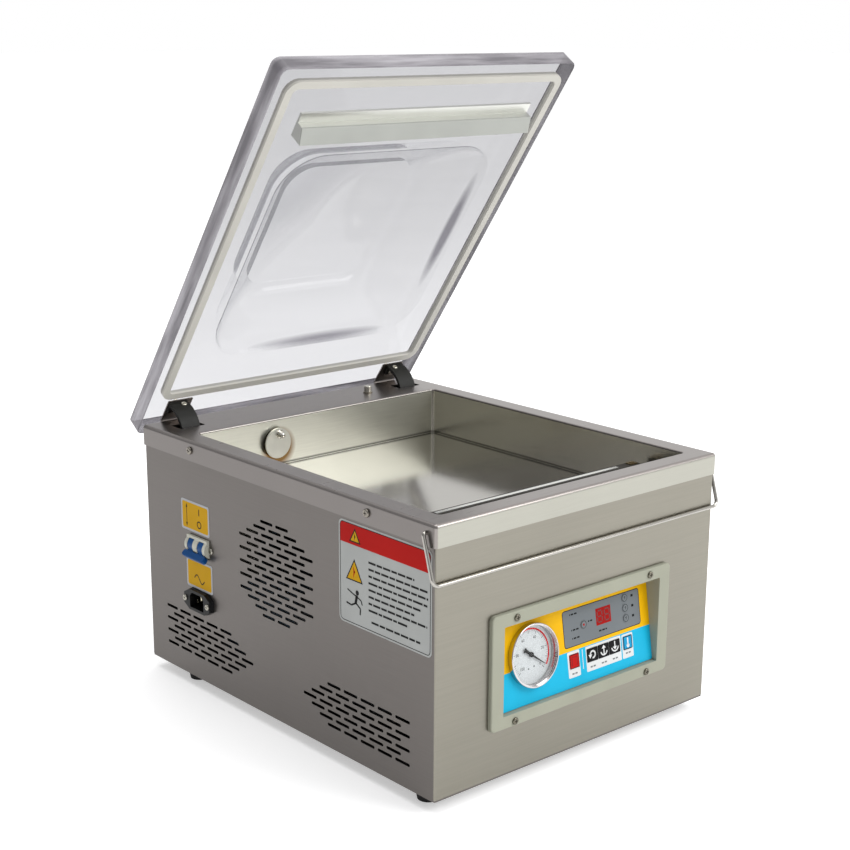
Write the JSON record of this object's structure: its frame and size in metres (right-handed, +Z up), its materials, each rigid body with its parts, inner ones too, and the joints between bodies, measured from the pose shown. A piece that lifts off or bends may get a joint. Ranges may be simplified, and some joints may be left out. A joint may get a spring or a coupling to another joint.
{
  "type": "vacuum packing machine",
  "caption": "Table-top stainless vacuum packer with a hinged clear domed lid, sunk chamber, seal bar, wire bail and sloping key panel with gauge.",
  "frame": {"origin": "centre of the outline's footprint, at the underside of the feet", "axes": "+Z up, -Y towards the operator, +X to the operator's right"},
  "size_m": [0.38, 0.4907, 0.645],
  "materials": {
    "base_plate": "brushed stainless sheet",
    "front_panel": "brushed stainless sheet",
    "left_side_panel": "brushed stainless sheet",
    "right_side_panel": "brushed stainless sheet",
    "back_panel": "brushed stainless sheet",
    "deck_cover": "brushed stainless sheet",
    "cover_screws": "bright",
    "rubber_feet": "matte black",
    "vacuum_chamber": "satin stainless",
    "port_baffle": "polished stainless",
    "baffle_screw": "bright",
    "suction_elbow": "machined",
    "suction_hose": "matte",
    "vacuum_pump": "painted casting",
    "pump_motor": "cast, painted grey",
    "exhaust_filter": "painted",
    "solenoid_valve": "machined body, black coils",
    "transformer_core": "laminated steel",
    "transformer_coil": "varnished winding",
    "lift_cylinders": "turned",
    "hinge_shaft": "ground",
    "shaft_brackets": "sheet",
    "lid_springs": "spring steel",
    "lid_switch": "moulded",
    "control_bezel": "moulded, pale grey-green",
    "bezel_screws": "bright",
    "membrane_panel": "printed film",
    "display_window": "dark red window",
    "control_board": "green laminate",
    "gauge_case": "black",
    "gauge_ring": "bright",
    "gauge_dial": "white",
    "gauge_glass": "clear",
    "breaker_body": "white moulding",
    "power_inlet": "black moulding",
    "inlet_pins": "plated",
    "socket_screws": "bright",
    "switch_label": "yellow film",
    "supply_label": "yellow film",
    "warning_label": "white film with a red head band",
    "acrylic_lid": "clear acrylic",
    "lid_gasket": "cream silicone",
    "lid_pressure_bar": "satin extrusion",
    "pressure_strip": "grey silicone",
    "left_hinge_arm": "black",
    "right_hinge_arm": "black",
    "hinge_plates": "stainless sheet",
    "hinge_bolts": "bright",
    "bail_wire": "bright wire",
    "breaker_lever": "blue moulding",
    "seal_bar": "brown coated cloth over aluminium",
    "heating_strip": "bright resistance strip",
    "bar_terminals": "machined",
    "lid_switch_pin": "bright",
    "gauge_pointer": "black",
    "stop_key": "glossy key",
    "seal_key": "glossy key",
    "mode_key_a": "glossy key",
    "mode_key_b": "glossy key",
    "mode_key_c": "glossy key"
  },
  "bodies": {
    "cabinet": {"base_plate": "base_plate", "front_panel": "front_panel", "left_side_panel": "left_side_panel", "right_side_panel": "right_side_panel", "back_panel": "back_panel", "deck_cover": "deck_cover", "cover_screws": "cover_screws", "rubber_feet": "rubber_feet", "vacuum_chamber": "vacuum_chamber", "port_baffle": "port_baffle", "baffle_screw": "baffle_screw", "suction_elbow": "suction_elbow", "suction_hose": "suction_hose", "vacuum_pump": "vacuum_pump", "pump_motor": "pump_motor", "exhaust_filter": "exhaust_filter", "solenoid_valve": "solenoid_valve", "transformer_core": "transformer_core", "transformer_coil": "transformer_coil", "lift_cylinders": "lift_cylinders", "hinge_shaft": "hinge_shaft", "shaft_brackets": "shaft_brackets", "lid_springs": "lid_springs", "lid_switch": "lid_switch", "control_bezel": "control_bezel", "bezel_screws": "bezel_screws", "membrane_panel": "membrane_panel", "display_window": "display_window", "control_board": "control_board", "gauge_case": "gauge_case", "gauge_ring": "gauge_ring", "gauge_dial": "gauge_dial", "gauge_glass": "gauge_glass", "breaker_body": "breaker_body", "power_inlet": "power_inlet", "inlet_pins": "inlet_pins", "socket_screws": "socket_screws", "switch_label": "switch_label", "supply_label": "supply_label", "warning_label": "warning_label"},
    "lid": {"acrylic_lid": "acrylic_lid", "lid_gasket": "lid_gasket", "lid_pressure_bar": "lid_pressure_bar", "pressure_strip": "pressure_strip", "left_hinge_arm": "left_hinge_arm", "right_hinge_arm": "right_hinge_arm", "hinge_plates": "hinge_plates", "hinge_bolts": "hinge_bolts"},
    "bail": {"bail_wire": "bail_wire"},
    "breaker_toggle": {"breaker_lever": "breaker_lever"},
    "sealer": {"seal_bar": "seal_bar", "heating_strip": "heating_strip", "bar_terminals": "bar_terminals"},
    "switch_plunger": {"lid_switch_pin": "lid_switch_pin"},
    "needle": {"gauge_pointer": "gauge_pointer"},
    "stop_key_cap": {"stop_key": "stop_key"},
    "seal_key_cap": {"seal_key": "seal_key"},
    "mode_key_a_cap": {"mode_key_a": "mode_key_a"},
    "mode_key_b_cap": {"mode_key_b": "mode_key_b"},
    "mode_key_c_cap": {"mode_key_c": "mode_key_c"}
  },
  "joints": [
    {"name": "lid_hinge", "type": "hinge", "parent": "cabinet", "child": "lid", "pos_m": [0.0014, 0.2114, 0.2566], "axis": [1, 0, 0], "range_deg": [0, 54.66], "stiffness_Nm_per_rad": 5, "springref_deg": -65.89},
    {"name": "bail_swing", "type": "hinge", "parent": "cabinet", "child": "bail", "pos_m": [0.0014, -0.2288, 0.2589], "axis": [-1, 0, 0], "range_deg": [0, 205]},
    {"name": "breaker_throw", "type": "hinge", "parent": "cabinet", "child": "breaker_toggle", "pos_m": [-0.1771, 0.1212, 0.1586], "axis": [0, 1, 0], "range_deg": [0, 70]},
    {"name": "seal_bar_lift", "type": "slide", "parent": "cabinet", "child": "sealer", "axis": [0, 0, 1], "range_m": [0, 0.003]},
    {"name": "switch_plunge", "type": "slide", "parent": "cabinet", "child": "switch_plunger", "axis": [0, 0, -1], "range_m": [0, 0.0058]},
    {"name": "needle_turn", "type": "hinge", "parent": "cabinet", "child": "needle", "pos_m": [-0.0556, -0.23058, 0.11707], "axis": [0, -0.9882, 0.1532], "range_deg": [0, 270], "stiffness_Nm_per_rad": 0.0001},
    {"name": "stop_key_press", "type": "slide", "parent": "cabinet", "child": "stop_key_cap", "axis": [0, 0.9882, -0.1532], "range_m": [0, 0.0006], "stiffness_N_per_m": 400, "springref_m": -0.0005},
    {"name": "seal_key_press", "type": "slide", "parent": "cabinet", "child": "seal_key_cap", "axis": [0, 0.9882, -0.1532], "range_m": [0, 0.0006], "stiffness_N_per_m": 400, "springref_m": -0.0005},
    {"name": "mode_key_a_press", "type": "slide", "parent": "cabinet", "child": "mode_key_a_cap", "axis": [0, 0.9882, -0.1532], "range_m": [0, 0.0006], "stiffness_N_per_m": 400, "springref_m": -0.0005},
    {"name": "mode_key_b_press", "type": "slide", "parent": "cabinet", "child": "mode_key_b_cap", "axis": [0, 0.9882, -0.1532], "range_m": [0, 0.0006], "stiffness_N_per_m": 400, "springref_m": -0.0005},
    {"name": "mode_key_c_press", "type": "slide", "parent": "cabinet", "child": "mode_key_c_cap", "axis": [0, 0.9882, -0.1532], "range_m": [0, 0.0006], "stiffness_N_per_m": 400, "springref_m": -0.0005}
  ],
  "couplings": [
    {"joint": "switch_plunge", "follows": "lid_hinge", "m_per_rad": 0.0060791}
  ]
}
